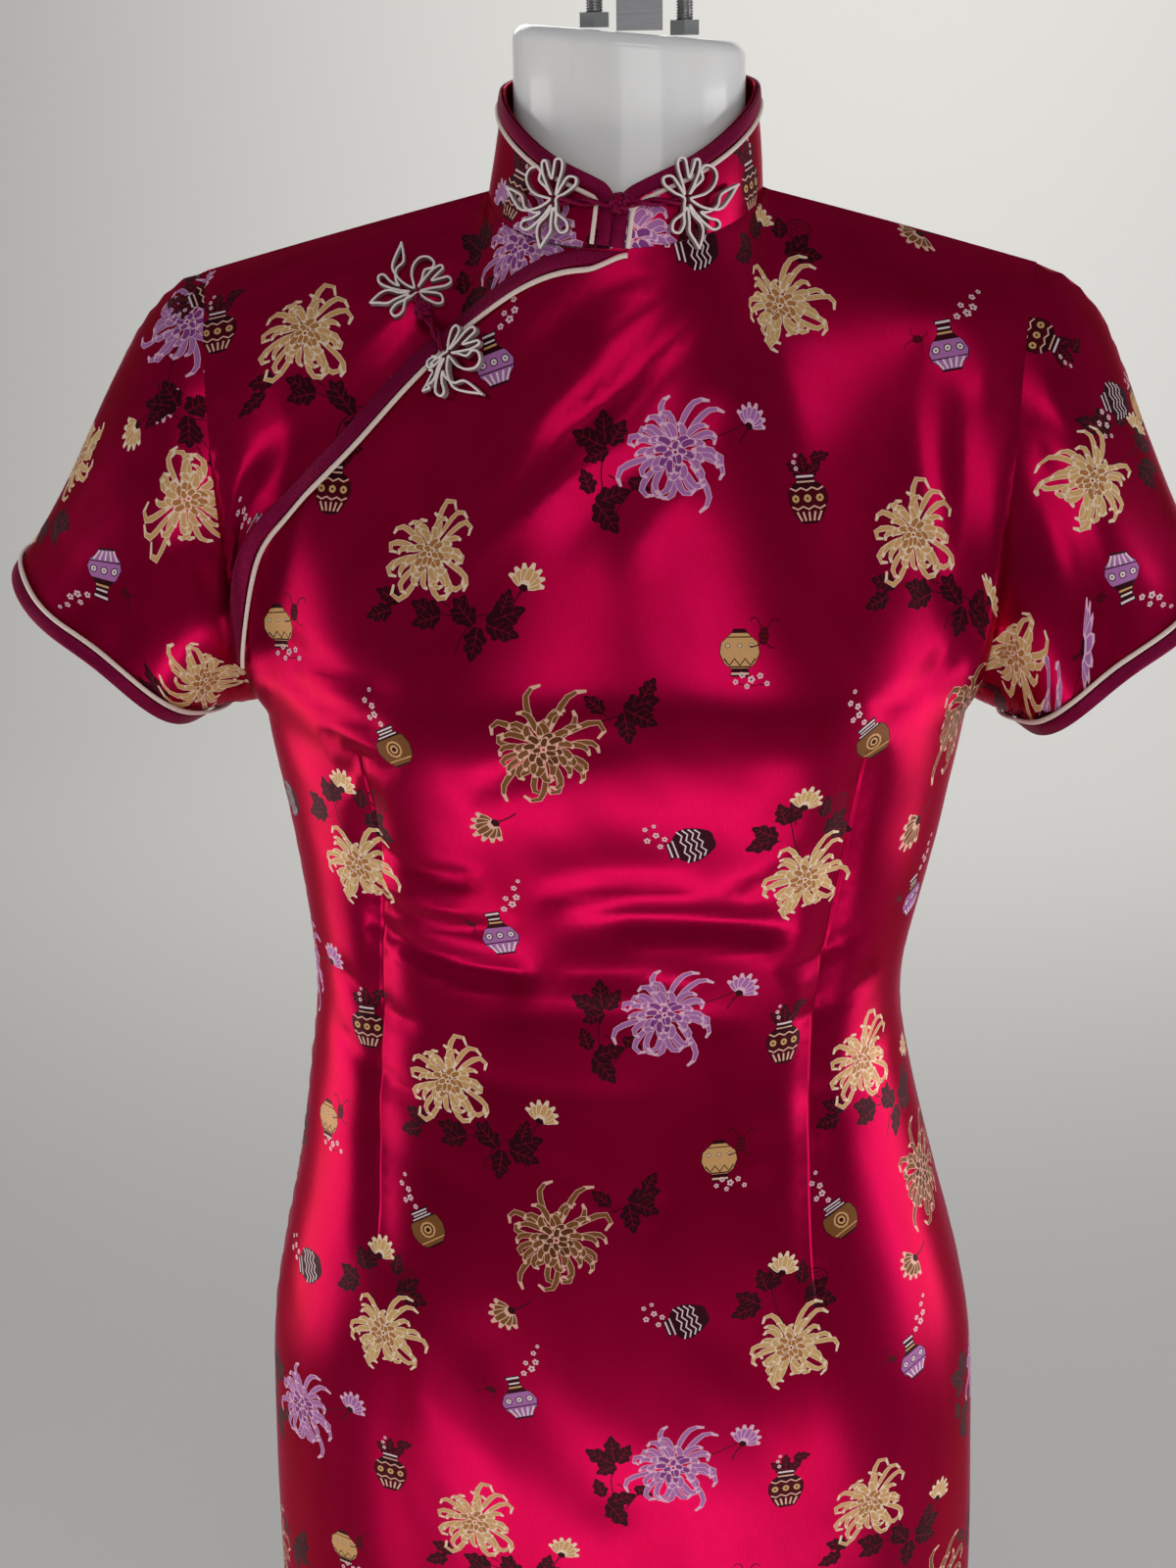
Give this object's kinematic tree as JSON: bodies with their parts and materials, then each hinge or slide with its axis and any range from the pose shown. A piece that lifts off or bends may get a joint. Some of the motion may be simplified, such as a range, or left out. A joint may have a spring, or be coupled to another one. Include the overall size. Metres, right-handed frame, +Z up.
{
  "type": "cheongsam dress on a limbless dress form with a pole stand",
  "caption": "Knee-length side-closing brocade satin cheongsam with a stand collar, short sleeves, contrast piping and flower frogs, worn by a limbless form on a round-based pole stand.",
  "frame": {"origin": "on the floor under the middle of the stand's round base", "axes": "+Z up; the dress faces -Y; +X is the wearer's left"},
  "size_m": [0.5825, 0.38, 1.5384],
  "materials": {
    "crimson_satin": "crimson satin brocade with a bright sheen and many-coloured woven flowers and vases",
    "maroon_binding": "maroon ribbed satin, soft sheen",
    "cream_piping": "cream satin cord, soft sheen",
    "cream_ribbon": "grey-cream satin cord with a pale top edge",
    "white_form": "smooth glossy off-white moulding",
    "steel": "plain turned and plated steel"
  },
  "bodies": {
    "root": {"front_panel": "crimson_satin", "front_underlap": "crimson_satin", "back_panel": "crimson_satin", "sleeve_right": "crimson_satin", "sleeve_left": "crimson_satin", "collar_band": "crimson_satin", "flap_binding": "maroon_binding", "collar_binding": "maroon_binding", "sleeve_binding_right": "maroon_binding", "sleeve_binding_left": "maroon_binding", "frog_knot_collar": "maroon_binding", "frog_knot_chest": "maroon_binding", "frog_loop_collar_right": "maroon_binding", "frog_loop_collar_left": "maroon_binding", "frog_loop_chest_upper": "maroon_binding", "frog_loop_chest_lower": "maroon_binding", "flap_piping": "cream_piping", "collar_piping": "cream_piping", "sleeve_piping_right": "cream_piping", "sleeve_piping_left": "cream_piping", "frog_flower_collar_right": "cream_ribbon", "frog_flower_collar_left": "cream_ribbon", "frog_flower_chest_upper": "cream_ribbon", "frog_flower_chest_lower": "cream_ribbon", "dress_form": "white_form", "neck_stud_right": "steel", "neck_stud_left": "steel", "neck_nut_right": "steel", "neck_nut_left": "steel", "neck_strap": "steel", "stand_base": "steel", "stand_pole": "steel", "stand_socket": "steel", "stand_flange": "steel"}
  },
  "joints": []
}
